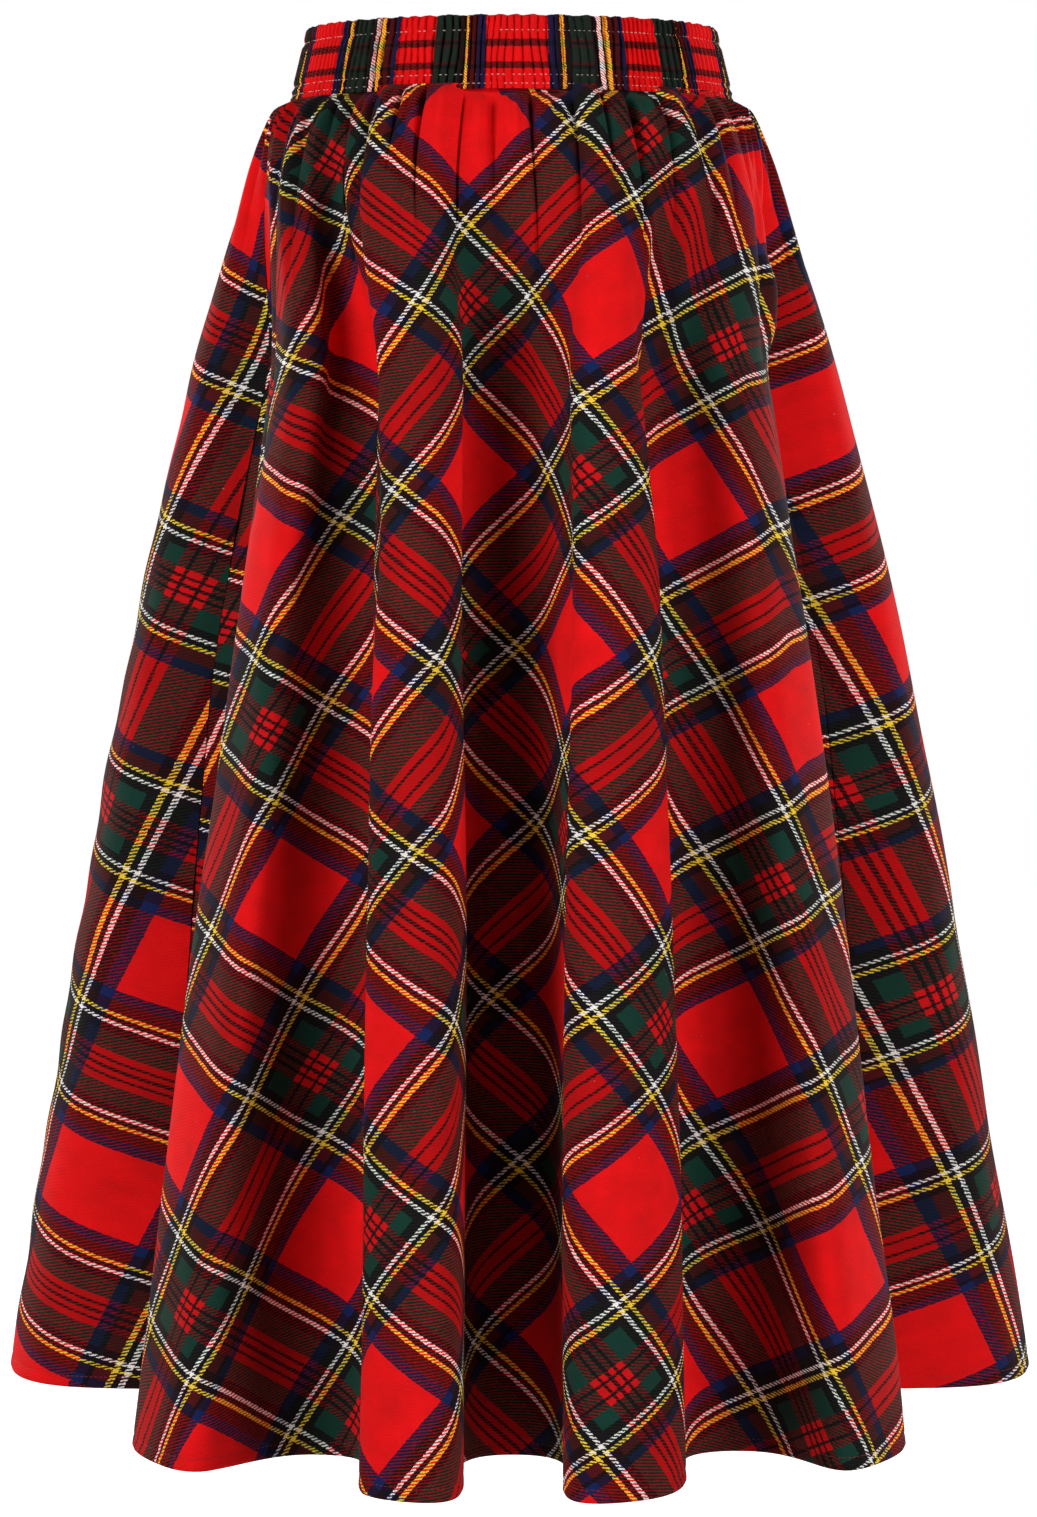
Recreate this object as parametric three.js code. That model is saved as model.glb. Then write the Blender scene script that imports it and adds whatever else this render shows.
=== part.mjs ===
import * as THREE from "three";

// A long skirt cut from half a circle, as it hangs when worn, with nobody in it.
// Millimetres, +Z up, the front faces -Y. The origin is the centre of the waist opening,
// level with the top of the waistband.

// Cloth and sewing
const cloth = 1.5;
const seamGap = 0.3;

// Along the outer face of a side seam, which leaves the seam gap where the two edges lean together
const sideSeamGap = 0.6;

const hemTurn = 9;
const clothRoughness = 0.9;
const tartanRed = 0xc4101a;
const pocketRed = 0x8f1218;

// Waistband: a slightly conical oval tube, two layers of cloth over elastic
const band = { height: 45, wall: 3, topWidth: 259, topDepth: 201, footWidth: 281, footDepth: 213 };

// The cut: half of a flat ring, so the panels share 180 degrees of it
const cut = { waistRadius: 324, length: 862, frontHalfAngle: 38, wholeAngle: 180 };

// The pocket's bag lies inside the front panel, along the right side seam, on the panel's own points:
// this many facets wide, between two cloth distances below the band, as two layers of pocket cloth
const pocket = { facets: 9, top: 60, bottom: 310, layers: 2.4 };

// From the foot of the waistband to the hem, a little less than the cloth because it hangs at a slant
const hangingDrop = 840;

// The form at the hem, without folds, and how fast the skirt widens below the band
const hemOval = { width: 676, depth: 560 };
const flarePower = 0.7;

// How broad the hollows are
const hollowRound = 0.45;

// Where the small gathers under the band have opened into the long folds
const gatherEnd = 190;

// Where the folds stop wandering across the cloth
const foldSettled = 400;

// Long folds in order round the skirt, from the left side over the front to the right and back.
// Angles are in degrees and run from the front towards the right.
// flatTop, flatHem: the crest's angle on the cut from centre front, at the waist and lower down, because
// a fold wanders a little across the cloth. waist: direction round the waist from the front.
// side, depth: where the crest stands at the hem, to the right and to the back.
// lag: power by which the crest moves sideways on its way down.
// hollow: share of the way to the next crest where the hollow lies. inward: its direction, from the back
// towards the right. round: how broad the crest is.
const foldColumns = ["name", "flatTop", "flatHem", "waist", "side", "depth", "lag", "hollow", "inward", "round"];
const foldTable = [
  ["left_flap", -49, -47, -97, -343, 176, 0.67, 0.48, 84, 0.8],
  ["front_1", -26, -23, -57, -214, -180, 1.05, 0.55, 8, 0.7],
  ["front_2", -11, -9, -29, -63, -285, 1.0, 0.5, 0, 0.5],
  ["front_3", 10.5, 8.5, 24, 64, -287, 1.0, 0.5, 0, 0.5],
  ["front_4", 26, 23, 62, 220, -180, 0.9, 0.52, -84, 0.7],
  ["right_flap", 49, 47, 97, 352, 178, 0.66, 0.45, -140, 0.8],
  ["back_1", 67, 65, 128, 226, 262, 0.8, 0.5, 180, 0.6],
  ["back_2", 83, 82.5, 156, 78, 286, 0.9, 0.5, 180, 0.6],
  ["back_3", 99, 99.5, -168, -82, 278, 0.9, 0.45, 180, 0.6],
  ["back_4", 114, 116, -134, -232, 254, 0.8, 0.52, 142, 0.6],
];
const folds = foldTable.map((row) => Object.fromEntries(foldColumns.map((column, i) => [column, row[i]])));

// Faceting
const sectionAt = [0, 14, 34, 64, 104, 154, 220, 300, 392, 494, 604, 722, cut.length - hemTurn, cut.length];
const facetAngle = 1.3;
const bandSides = 60;
const curveSteps = 24;
const sinkSteps = 30;

const radians = THREE.MathUtils.degToRad;
const smooth = (low, high, value) => THREE.MathUtils.smoothstep(value, low, high);

function ovalPoint(halfWidth, halfDepth, direction) {
  const turn = radians(direction);
  return new THREE.Vector2(halfWidth * Math.sin(turn), -halfDepth * Math.cos(turn));
}

// The crest's angle on the cut at a cloth distance below the band
function crestFlat(fold, distance) {
  return THREE.MathUtils.lerp(fold.flatTop, fold.flatHem, smooth(0, foldSettled, distance));
}

// How far the flare has opened at a cloth distance below the band, from 0 to 1
function flare(distance) {
  return Math.pow(distance / cut.length, flarePower);
}

function crestAt(fold, distance) {
  const share = distance / cut.length;
  const start = ovalPoint(band.footWidth / 2, band.footDepth / 2, fold.waist);
  const side = THREE.MathUtils.lerp(start.x, fold.side, Math.pow(share, fold.lag));
  const depth = THREE.MathUtils.lerp(start.y, fold.depth, flare(distance));
  return new THREE.Vector2(side, depth);
}

// One wall of a fold, from crest to hollow or back, as a list of points
function wallPoints(from, fromHeading, fromRound, to, toHeading, toRound) {
  const span = from.distanceTo(to);
  const curve = new THREE.CubicBezierCurve(
    from,
    from.clone().addScaledVector(fromHeading, span * fromRound),
    to.clone().addScaledVector(toHeading, -span * toRound),
    to,
  );
  return curve.getPoints(curveSteps);
}

function pathLength(points) {
  let total = 0;
  for (let i = 1; i < points.length; i += 1) total += points[i].distanceTo(points[i - 1]);
  return total;
}

// Crest, hollow, next crest: the hollow is as deep as the cloth between the crests allows
function foldPath(index, distance) {
  const count = folds.length;
  const fold = folds[index];
  const next = folds[(index + 1) % count];
  const before = crestAt(folds[(index + count - 1) % count], distance);
  const here = crestAt(fold, distance);
  const there = crestAt(next, distance);
  const after = crestAt(folds[(index + 2) % count], distance);
  const heading = there.clone().sub(before).normalize();
  const nextHeading = after.clone().sub(here).normalize();
  const inward = new THREE.Vector2(Math.sin(radians(fold.inward)), Math.cos(radians(fold.inward)));
  const hollowHeading = new THREE.Vector2(inward.y, -inward.x);
  const base = here.clone().lerp(there, fold.hollow);
  const start = crestFlat(fold, distance);
  const angle = (crestFlat(next, distance) - start + cut.wholeAngle) % cut.wholeAngle;
  const clothLength = radians(angle) * (cut.waistRadius + distance);
  const pathFor = (sink) => {
    const hollow = base.clone().addScaledVector(inward, sink);
    const down = wallPoints(here, heading, fold.round, hollow, hollowHeading, hollowRound);
    const up = wallPoints(hollow, hollowHeading, hollowRound, there, nextHeading, next.round);
    return down.concat(up.slice(1));
  };
  let low = 0;
  let high = clothLength / 2;
  for (let step = 0; step < sinkSteps; step += 1) {
    const middle = (low + high) / 2;
    if (pathLength(pathFor(middle)) < clothLength) low = middle;
    else high = middle;
  }
  return { points: pathFor(low), start, angle };
}

// The whole ring at one cloth distance: points with their angle on the cut
function ringAt(distance) {
  const open = smooth(0, gatherEnd, distance);
  const width = THREE.MathUtils.lerp(band.footWidth, hemOval.width, flare(distance)) / 2;
  const depth = THREE.MathUtils.lerp(band.footDepth, hemOval.depth, flare(distance)) / 2;
  const ring = [];
  folds.forEach((fold, index) => {
    const path = foldPath(index, distance);
    const next = folds[(index + 1) % folds.length];
    const turn = (next.waist - fold.waist + 360) % 360;
    const total = pathLength(path.points);
    let along = 0;
    for (let i = 0; i < path.points.length - 1; i += 1) {
      if (i > 0) along += path.points[i].distanceTo(path.points[i - 1]);
      const share = along / total;
      const smoothPoint = ovalPoint(width, depth, fold.waist + turn * share);
      ring.push({ flat: path.start + path.angle * share, point: smoothPoint.lerp(path.points[i], open) });
    }
  });
  return ring;
}

// Point and outward direction of the cloth's outer face at an angle on the cut
function samplerAt(distance) {
  const ring = ringAt(distance);
  const first = ring[0];
  const closed = ring.concat([{ flat: first.flat + cut.wholeAngle, point: first.point }]);
  return (flat) => {
    const wrapped = first.flat + ((flat - first.flat) % cut.wholeAngle + cut.wholeAngle) % cut.wholeAngle;
    let i = 1;
    while (i < closed.length - 1 && closed[i].flat < wrapped) i += 1;
    const a = closed[i - 1];
    const b = closed[i];
    const share = (wrapped - a.flat) / (b.flat - a.flat);
    const along = b.point.clone().sub(a.point).normalize();
    return { point: a.point.clone().lerp(b.point, share), out: new THREE.Vector2(along.y, -along.x) };
  };
}

function heightAt(distance) {
  return -(band.height + seamGap) - (distance * (hangingDrop - seamGap)) / cut.length;
}

// A closed wall between an outer and an inner grid of points, rows down and columns round
function wallGeometry(outer, inner, closedRound) {
  const rows = outer.length;
  const columns = outer[0].length;
  const positions = [];
  for (const grid of [outer, inner]) {
    for (const row of grid) for (const point of row) positions.push(point.x, point.y, point.z);
  }
  const outerIndex = (r, c) => r * columns + (c % columns);
  const innerIndex = (r, c) => rows * columns + outerIndex(r, c);
  const faces = [];
  const quad = (a, b, c, d) => faces.push(a, b, c, a, c, d);
  const spans = closedRound ? columns : columns - 1;
  for (let r = 0; r < rows - 1; r += 1) {
    for (let c = 0; c < spans; c += 1) {
      quad(outerIndex(r, c), outerIndex(r + 1, c), outerIndex(r + 1, c + 1), outerIndex(r, c + 1));
      quad(innerIndex(r, c), innerIndex(r, c + 1), innerIndex(r + 1, c + 1), innerIndex(r + 1, c));
    }
  }
  for (let c = 0; c < spans; c += 1) {
    quad(outerIndex(0, c), outerIndex(0, c + 1), innerIndex(0, c + 1), innerIndex(0, c));
    const last = rows - 1;
    quad(outerIndex(last, c), innerIndex(last, c), innerIndex(last, c + 1), outerIndex(last, c + 1));
  }
  if (!closedRound) {
    const end = columns - 1;
    for (let r = 0; r < rows - 1; r += 1) {
      quad(outerIndex(r, 0), innerIndex(r, 0), innerIndex(r + 1, 0), outerIndex(r + 1, 0));
      quad(outerIndex(r, end), outerIndex(r + 1, end), innerIndex(r + 1, end), innerIndex(r, end));
    }
  }
  const geometry = new THREE.BufferGeometry();
  geometry.setAttribute("position", new THREE.Float32BufferAttribute(positions, 3));
  geometry.setIndex(faces);
  geometry.computeVertexNormals();
  return geometry;
}

// Angles on the cut across a panel, half a side seam's gap short of both its edges
function anglesAt(fromAngle, toAngle, distance) {
  const columns = Math.ceil((toAngle - fromAngle) / facetAngle);
  const edge = THREE.MathUtils.radToDeg(sideSeamGap / 2 / (cut.waistRadius + distance));
  const angles = [];
  for (let c = 0; c <= columns; c += 1) {
    angles.push(THREE.MathUtils.lerp(fromAngle + edge, toAngle - edge, c / columns));
  }
  return angles;
}

// A wall of cloth under the skirt's outer face, at an inset, with its own thickness at each distance
function clothGeometry(anglesFor, distances, inset, thicknessFor) {
  const outer = [];
  const inner = [];
  for (const distance of distances) {
    const sample = samplerAt(distance);
    const outerRow = [];
    const innerRow = [];
    for (const flat of anglesFor(distance)) {
      const { point, out } = sample(flat);
      const face = point.clone().addScaledVector(out, -inset);
      const back = face.clone().addScaledVector(out, -thicknessFor(distance));
      outerRow.push(new THREE.Vector3(face.x, face.y, heightAt(distance)));
      innerRow.push(new THREE.Vector3(back.x, back.y, heightAt(distance)));
    }
    outer.push(outerRow);
    inner.push(innerRow);
  }
  return wallGeometry(outer, inner, false);
}

function panelGeometry(fromAngle, toAngle) {
  const anglesFor = (distance) => anglesAt(fromAngle, toAngle, distance);
  const doubled = (distance) => (distance >= cut.length - hemTurn ? 2 * cloth : cloth);
  return clothGeometry(anglesFor, sectionAt, 0, doubled);
}

function bandGeometry() {
  const levels = [0, 0.5, 1];
  const ring = (share, inset) => {
    const width = THREE.MathUtils.lerp(band.topWidth, band.footWidth, share) / 2 - inset;
    const depth = THREE.MathUtils.lerp(band.topDepth, band.footDepth, share) / 2 - inset;
    const points = [];
    for (let i = 0; i < bandSides; i += 1) {
      const { x, y } = ovalPoint(width, depth, (360 * i) / bandSides);
      points.push(new THREE.Vector3(x, y, -band.height * share));
    }
    return points;
  };
  return wallGeometry(
    levels.map((share) => ring(share, 0)),
    levels.map((share) => ring(share, band.wall)),
    true,
  );
}

function pocketGeometry() {
  const halfAngle = cut.frontHalfAngle;
  const anglesFor = (distance) => anglesAt(-halfAngle, halfAngle, distance).slice(-1 - pocket.facets);
  const distances = sectionAt.filter((distance) => distance > pocket.top && distance < pocket.bottom);
  return clothGeometry(anglesFor, distances, cloth + seamGap, () => pocket.layers);
}

const skirt = new THREE.Group();

function addPiece(name, geometry, color) {
  const material = new THREE.MeshStandardMaterial({ color, roughness: clothRoughness, metalness: 0 });
  const mesh = new THREE.Mesh(geometry, material);
  mesh.name = name;
  skirt.add(mesh);
}

const leftSeam = -cut.frontHalfAngle;
const rightSeam = cut.frontHalfAngle;
addPiece("waistband", bandGeometry(), tartanRed);
addPiece("front_panel", panelGeometry(leftSeam, rightSeam), tartanRed);
addPiece("back_panel", panelGeometry(rightSeam, cut.wholeAngle + leftSeam), tartanRed);
addPiece("pocket_bag", pocketGeometry(), pocketRed);

export default skirt;
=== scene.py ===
# %% [markdown]
# A long tartan skirt, cut from half a circle and gathered onto an elastic waistband.
# The skirt hangs as it does when it is worn, with nobody in it. It is made from the numbers that its
# maker would know: the cut, the band, and a short table that says where each long fold runs.
# Everything is in metres, +Z is up and the front faces -Y.

# %% Tools and the fixed frame
import functools
import math

import bpy
import numpy as np
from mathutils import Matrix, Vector


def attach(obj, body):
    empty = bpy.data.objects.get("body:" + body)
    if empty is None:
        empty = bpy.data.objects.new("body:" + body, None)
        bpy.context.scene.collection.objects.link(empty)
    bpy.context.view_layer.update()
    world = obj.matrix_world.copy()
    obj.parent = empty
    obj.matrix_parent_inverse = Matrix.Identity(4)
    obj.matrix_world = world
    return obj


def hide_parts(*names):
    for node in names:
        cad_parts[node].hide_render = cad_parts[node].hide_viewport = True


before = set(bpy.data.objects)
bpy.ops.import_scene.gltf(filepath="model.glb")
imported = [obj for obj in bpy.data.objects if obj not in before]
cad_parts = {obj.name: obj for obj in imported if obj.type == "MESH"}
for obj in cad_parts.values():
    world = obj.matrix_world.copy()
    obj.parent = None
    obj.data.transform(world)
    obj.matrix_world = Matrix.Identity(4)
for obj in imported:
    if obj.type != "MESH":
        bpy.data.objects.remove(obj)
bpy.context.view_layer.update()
print("frame nodes:", sorted(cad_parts))

# %% [markdown]
# The sizes come first. The panels are parts of a flat half ring: its inner edge is gathered onto the
# band and its outer edge is the hem. The fold table names the crest of each long fold, in order from
# the left side over the front to the right and round the back. A crest has an angle on the flat cut,
# a direction at the waist and a place at the hem, so the same row says both where the fold stands
# and which stretch of cloth it takes.

# %% Sizes of the cut and the band
MM = 0.001
CLOTH = 1.2 * MM
SEAM_GAP = 0.3 * MM
BAND_HEIGHT = 45 * MM
BAND_TOP = (259 * MM, 201 * MM)
BAND_FOOT = (281 * MM, 213 * MM)
WAIST_RADIUS = 324 * MM
LENGTH = 862 * MM
DROP = 840 * MM
FRONT_HALF_ANGLE = 38
WHOLE_ANGLE = 180
HEM_OVAL = (676 * MM, 560 * MM)
HEM_TURN = 9 * MM
FLARE_POWER = 0.7
HOLLOW_ROUND = 0.45
GATHER_END = 190 * MM
FOLD_SETTLED = 400 * MM

# flat_top and flat_hem are the crest's degrees on the flat cut, and waist is its direction at the band.
# side and depth are its place at the hem in millimetres, and lag says how late it swings out to there.
# hollow is the share of the way to the next crest, inward is the way it sinks, and round is how broadly
# the crest bends.
FOLD_COLUMNS = "name flat_top flat_hem waist side depth lag hollow inward round".split()
FOLD_TABLE = [
    ("left_flap", -49, -47, -97, -343, 176, 0.67, 0.48, 84, 0.8),
    ("front_1", -26, -23, -57, -214, -180, 1.05, 0.55, 8, 0.7),
    ("front_2", -11, -9, -29, -63, -285, 1.0, 0.5, 0, 0.5),
    ("front_3", 10.5, 8.5, 24, 64, -287, 1.0, 0.5, 0, 0.5),
    ("front_4", 26, 23, 62, 220, -180, 0.9, 0.52, -84, 0.7),
    ("right_flap", 49, 47, 97, 352, 178, 0.66, 0.45, -140, 0.8),
    ("back_1", 67, 65, 128, 226, 262, 0.8, 0.5, 180, 0.6),
    ("back_2", 83, 82.5, 156, 78, 286, 0.9, 0.5, 180, 0.6),
    ("back_3", 99, 99.5, -168, -82, 278, 0.9, 0.45, 180, 0.6),
    ("back_4", 114, 116, -134, -232, 254, 0.8, 0.52, 142, 0.6),
]
FOLDS = [dict(zip(FOLD_COLUMNS, row)) for row in FOLD_TABLE]
print("long folds:", [fold["name"] for fold in FOLDS])

# %% [markdown]
# A few small helpers come up again and again: a gentle step, a soft hill, a mix of two values, and
# directions. They work on whole arrays at once, because numpy moves thousands of points in one call.

# %% Small helpers
def smooth(low, high, value):
    """Rises gently from 0 to 1 while the value goes from low to high."""
    share = np.clip((value - low) / (high - low), 0, 1)
    return share * share * (3 - 2 * share)


def hill(away, reach):
    """A soft hill of height 1 that falls off on both sides, over about the reach."""
    return np.exp(-((away / reach) ** 2))


def lerp(a, b, share):
    return a + (b - a) * share


def facing(turn):
    """The level direction at an angle in radians, counted from the front towards the right."""
    return np.stack([np.sin(turn), -np.cos(turn)], axis=-1)


def direction(degrees):
    return facing(np.radians(degrees))


def unit(vector):
    return vector / np.linalg.norm(vector, axis=-1, keepdims=True)


print("a quarter of the way up, smooth is", smooth(0, 1, 0.25))

# %% [markdown]
# The cloth below the band is followed one level at a time. At each level the cloth's length between
# two crests is known from the cut, and the hollow between them sinks in until the curve from crest to
# hollow to crest is just that long. That is why the folds deepen towards the hem by themselves, as
# they do in a real circle skirt. Near the band the long folds melt into a plain oval, and the small
# gathers are added there later.

# %% Where a fold's crest runs
def flare(distance):
    return (distance / LENGTH) ** FLARE_POWER


def crest_flat(fold, distance):
    return lerp(fold["flat_top"], fold["flat_hem"], smooth(0, FOLD_SETTLED, distance))


def crest_at(fold, distance):
    start = direction(fold["waist"]) * np.array(BAND_FOOT) / 2
    side = lerp(start[0], fold["side"] * MM, (distance / LENGTH) ** fold["lag"])
    depth = lerp(start[1], fold["depth"] * MM, flare(distance))
    return np.array([side, depth])


print("the fold front_2 reaches the hem at", crest_at(FOLDS[2], LENGTH).round(3))


# %% One fold: crest, hollow, next crest
BEZIER_STEPS = 64
SINK_STEPS = 26


def fold_wall(start, start_heading, start_round, end, end_heading, end_round):
    t = np.linspace(0, 1, BEZIER_STEPS + 1)[:, None]
    span = np.linalg.norm(end - start)
    first = start + start_heading * span * start_round
    second = end - end_heading * span * end_round
    u = 1 - t
    return u**3 * start + 3 * u * u * t * first + 3 * u * t * t * second + t**3 * end


def path_length(points):
    return np.linalg.norm(np.diff(points, axis=0), axis=1).sum()


def fold_path(index, distance):
    count = len(FOLDS)
    fold = FOLDS[index]
    following = FOLDS[(index + 1) % count]
    before = crest_at(FOLDS[index - 1], distance)
    here = crest_at(fold, distance)
    there = crest_at(following, distance)
    after = crest_at(FOLDS[(index + 2) % count], distance)
    heading = unit(there - before)
    next_heading = unit(after - here)
    turn = math.radians(fold["inward"])
    inward = np.array([math.sin(turn), math.cos(turn)])
    hollow_heading = np.array([inward[1], -inward[0]])
    base = lerp(here, there, fold["hollow"])
    start = crest_flat(fold, distance)
    angle = (crest_flat(following, distance) - start) % WHOLE_ANGLE
    cloth_length = math.radians(angle) * (WAIST_RADIUS + distance)

    def path_for(sink):
        hollow = base + inward * sink
        down = fold_wall(here, heading, fold["round"], hollow, hollow_heading, HOLLOW_ROUND)
        up = fold_wall(hollow, hollow_heading, HOLLOW_ROUND, there, next_heading, following["round"])
        return np.concatenate([down, up[1:]])

    low = 0.0
    high = cloth_length / 2
    for _ in range(SINK_STEPS):
        middle = (low + high) / 2
        if path_length(path_for(middle)) < cloth_length:
            low = middle
        else:
            high = middle
    return path_for(low), start, angle


print("cloth from front_1 to front_2 at the hem:", round(path_length(fold_path(1, LENGTH)[0]), 3), "m")


# %% The whole ring at one level
@functools.lru_cache(maxsize=None)
def ring_at(distance):
    opened = smooth(0, GATHER_END, distance)
    half = np.array([lerp(BAND_FOOT[i], HEM_OVAL[i], flare(distance)) / 2 for i in (0, 1)])
    flats = []
    points = []
    for index, fold in enumerate(FOLDS):
        path, start, angle = fold_path(index, distance)
        following = FOLDS[(index + 1) % len(FOLDS)]
        turn = (following["waist"] - fold["waist"]) % 360
        steps = np.linalg.norm(np.diff(path, axis=0), axis=1)
        share = np.concatenate([[0], np.cumsum(steps)]) / steps.sum()
        oval = direction(fold["waist"] + turn * share) * half
        flats.append((start + angle * share)[:-1])
        points.append(lerp(oval, path, opened)[:-1])
    return np.concatenate(flats), np.concatenate(points)


def height_at(distance):
    return -(BAND_HEIGHT + SEAM_GAP) - distance * (DROP - SEAM_GAP) / LENGTH


def form_row(angles, distance):
    flats, points = ring_at(max(distance, 0))
    first = flats[0]
    flats = np.append(flats, first + WHOLE_ANGLE)
    points = np.concatenate([points, points[:1]])
    wrapped = first + (angles - first) % WHOLE_ANGLE
    row = [np.interp(wrapped, flats, points[:, i]) for i in (0, 1)]
    row.append(np.full(len(angles), height_at(distance)))
    return np.stack(row, axis=-1)


hem_ring = ring_at(LENGTH)[1]
print("the hem is", round(path_length(np.concatenate([hem_ring, hem_ring[:1]])), 2), "m round")


# %% [markdown]
# The fine shape lies on top of that form, as distances that the cloth stands out or sinks in. It has
# five parts: the small gathers under the band, a few long soft creases, the edges where a fold turns
# in, the slow unevenness that any hanging cloth has, and the dents along seams and stitches. The
# gathers, creases and edges are short tables, set from how a gathered skirt looks, and the
# hidden back gets rows of the same kind. Sculpting or a cloth simulation could make them too, but a
# table keeps every fold where it can be found and changed.

# %% Gathers under the band
PUCKER_COLUMNS = "width depth length".split()
PUCKER_TABLE = [
    (17, 2.6, 60), (21, 3.4, 95), (15, 2.2, 50), (24, 3.8, 150), (18, 2.8, 70), (16, 2.4, 55),
    (26, 3.9, 170), (19, 2.9, 75), (14, 2.0, 48), (22, 3.5, 120), (17, 2.6, 62), (20, 3.2, 88),
    (25, 3.7, 160), (15, 2.3, 52), (18, 2.9, 80), (23, 3.6, 130), (16, 2.5, 58), (21, 3.3, 100),
    (19, 2.8, 66), (27, 4.0, 180), (17, 2.5, 56), (22, 3.4, 110), (16, 2.4, 60), (20, 3.1, 84),
]
PUCKERS = [dict(zip(PUCKER_COLUMNS, row)) for row in PUCKER_TABLE]
GATHER_GAIN = 3.3
CROWN_POWER = 0.62
CROWN_MIDDLE = 0.62
FADE_FROM = 0.15
TUCK_PITCH = 8.5 * MM
TUCK_DEPTH = 1.3 * MM
TUCK_END = 48 * MM
# The band holds the cloth nearly flat, and the gathers come out between these two levels.
GATHER_RISE = (-1 * MM, 10 * MM)
HELD_SHARE = 0.14


def gathers(angles, distances, start_row):
    """Small gathers: the table's rows one after the other along the waist edge, from a first row on.

    Between them lie finer tucks that end soon below the band. Their beat wanders in two waves.
    """
    along = np.radians(angles - angles[0]) * WAIST_RADIUS
    total = np.zeros((len(distances), len(angles)))
    position = 0.0
    number = start_row
    while position < along[-1]:
        pucker = PUCKERS[number % len(PUCKERS)]
        width = pucker["width"] * MM
        across = (along - position) / width
        inside = (across >= 0) & (across < 1)
        crown = np.sin(np.pi * np.clip(across, 0, 1)) ** CROWN_POWER - CROWN_MIDDLE
        profile = np.where(inside, crown, 0)
        fade = 1 - smooth(FADE_FROM, 1, distances / (pucker["length"] * MM))
        total += profile[None, :] * (fade * pucker["depth"] * GATHER_GAIN * MM)[:, None]
        position += width
        number += 1
    beat = along / TUCK_PITCH + 0.8 * np.sin(along * 31 + start_row) + 0.5 * np.sin(along * 83)
    tucks = TUCK_DEPTH * np.sin(2 * np.pi * beat)[None, :]
    total += tucks * (1 - smooth(0, TUCK_END, distances))[:, None]
    return total * lerp(HELD_SHARE, 1, smooth(*GATHER_RISE, distances))[:, None]


print("gathers:", len(PUCKERS), "rows over", sum(pucker["width"] for pucker in PUCKERS), "mm of waist edge")


# %% [markdown]
# Long creases and folded edges are both drawn as slanting lines on the flat cloth, with a height that
# changes beside the line. A crease is a soft ridge or groove that dies out at both ends. Moving points
# by hand would do it for one crease, but a table of lines and one helper do it for all of them.

# %% Measure beside a line on the cloth
def beside_line(line, angles, distances):
    """Metres of cloth beside a slanting line, below its upper end and below its lower end."""
    start = line["level_from"] * MM
    end = line["level_to"] * MM
    grid_angle, grid_level = np.meshgrid(angles, distances)
    share = np.clip((grid_level - start) / (end - start), 0, 1)
    middle = lerp(line["flat_from"], line["flat_to"], share)
    across = np.radians(grid_angle - middle) * (WAIST_RADIUS + grid_level)
    return across, grid_level - start, grid_level - end


# %% Long soft creases
CREASE_COLUMNS = "flat_from level_from flat_to level_to half_width depth".split()
# Shares of a crease's length over which it fades, before and beyond each end.
CREASE_FADE_WITHIN = 0.35
CREASE_FADE_BEYOND = 0.12
FRONT_CREASES = [
    (-31, 10, -28, 300, 10, -5.0),
    (-25.5, 0, -24, 110, 6, -4.0),
    (-19, 0, -21, 230, 9, -6.5),
    (-15.5, 60, -13, 420, 14, 2.6),
    (-9.5, 0, -9, 90, 5, -3.6),
    (-1.2, 0, -0.6, 120, 5, -4.2),
    (2.2, 5, 2.6, 260, 12, 3.2),
    (4.6, 0, 4.2, 100, 5, -3.8),
    (14.6, 0, 15.4, 300, 8, -5.0),
    (18.5, 0, 18, 240, 8, 3.4),
    (21, 0, 20.5, 130, 5, -4.4),
    (30, 10, 28, 100, 9, -4.4),
    (29, 105, 29.5, 165, 12, 7.0),
    (-33, 380, -28, 700, 20, 1.6),
    (-12, 480, -13, 800, 16, -1.3),
    (12, 420, 12.5, 760, 18, 1.3),
    (27, 500, 29, 820, 22, -1.5),
]
BACK_CREASES = [
    (47, 5, 50, 260, 9, -4.6),
    (58, 10, 60, 320, 10, 3.4),
    (66, 0, 69, 190, 7, -5.0),
    (77, 0, 75, 240, 8, -4.4),
    (86, 20, 88, 360, 12, 3.0),
    (95, 0, 93, 170, 7, -4.8),
    (104, 10, 107, 300, 10, -4.2),
    (115, 10, 112, 220, 8, 3.4),
    (126, 0, 129, 280, 9, -4.6),
    (55, 420, 52, 760, 20, 1.5),
    (90, 460, 92, 820, 18, -1.4),
    (121, 400, 118, 700, 20, 1.5),
]


def creases(angles, distances, table):
    total = np.zeros((len(distances), len(angles)))
    for row in table:
        crease = dict(zip(CREASE_COLUMNS, row))
        across, below_start, below_end = beside_line(crease, angles, distances)
        length = (crease["level_to"] - crease["level_from"]) * MM
        beyond = np.maximum(-below_start, below_end)
        ends = 1 - smooth(-CREASE_FADE_WITHIN * length, CREASE_FADE_BEYOND * length, beyond)
        total += crease["depth"] * MM * ends * hill(across, crease["half_width"] * MM)
    return total


print("creases:", len(FRONT_CREASES), "on the front and", len(BACK_CREASES), "on the back")

# %% [markdown]
# Where a long fold turns in, the cloth steps from the lit crest to the dark hollow in a narrow band.
# Such an edge is a soft step beside its line: one side stands out, the other sinks in, and both fade
# away from it. A positive rise lifts the side with the larger angles.

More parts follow.
